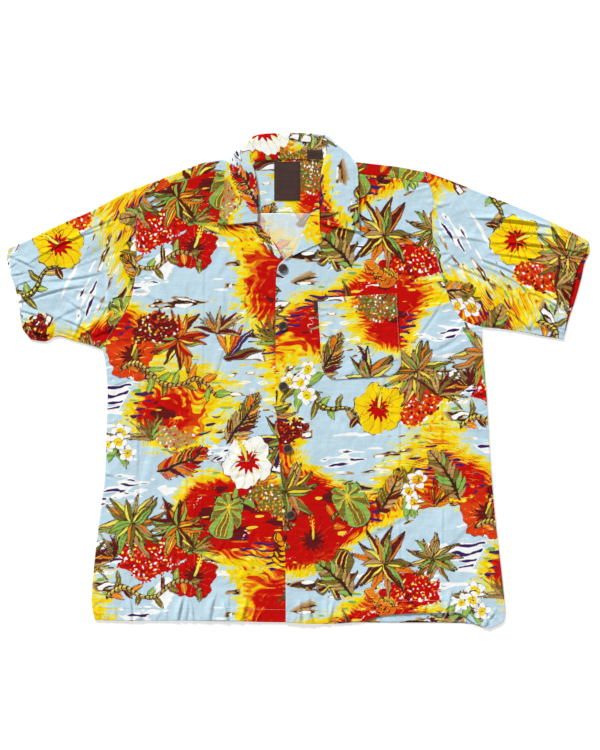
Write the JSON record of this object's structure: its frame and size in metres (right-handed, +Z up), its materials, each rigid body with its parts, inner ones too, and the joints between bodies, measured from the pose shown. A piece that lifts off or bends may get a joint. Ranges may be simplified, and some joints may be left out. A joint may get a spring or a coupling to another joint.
{
  "type": "hawaiian shirt",
  "caption": "Short-sleeved camp-collar shirt in a bright tropical print, buttoned and laid flat on its back, with a patch pocket on the left chest.",
  "frame": {"origin": "on the surface the shirt lies on, under the middle of its whole outline", "axes": "+Z up off the surface, out of the shirt's front; +Y from the hem to the collar; +X towards the wearer's left sleeve"},
  "size_m": [0.9217, 0.7834, 0.008],
  "materials": {
    "print_cloth": "soft, thin plain-weave rayon with a bright print, faint sheen",
    "woven_label": "dense dark brown satin-woven tape, bare",
    "button_shell": "dark brown dished buttons, satin, a little worn at the rim"
  },
  "bodies": {
    "root": {"back": "print_cloth", "yoke": "print_cloth", "front_left": "print_cloth", "front_right": "print_cloth", "facing_left": "print_cloth", "facing_right": "print_cloth", "collar": "print_cloth", "sleeve_left": "print_cloth", "sleeve_right": "print_cloth", "pocket": "print_cloth", "neck_label": "woven_label", "size_tab": "woven_label", "pocket_tab": "woven_label", "button_1": "button_shell", "button_2": "button_shell", "button_3": "button_shell", "button_4": "button_shell", "button_5": "button_shell"}
  },
  "joints": []
}
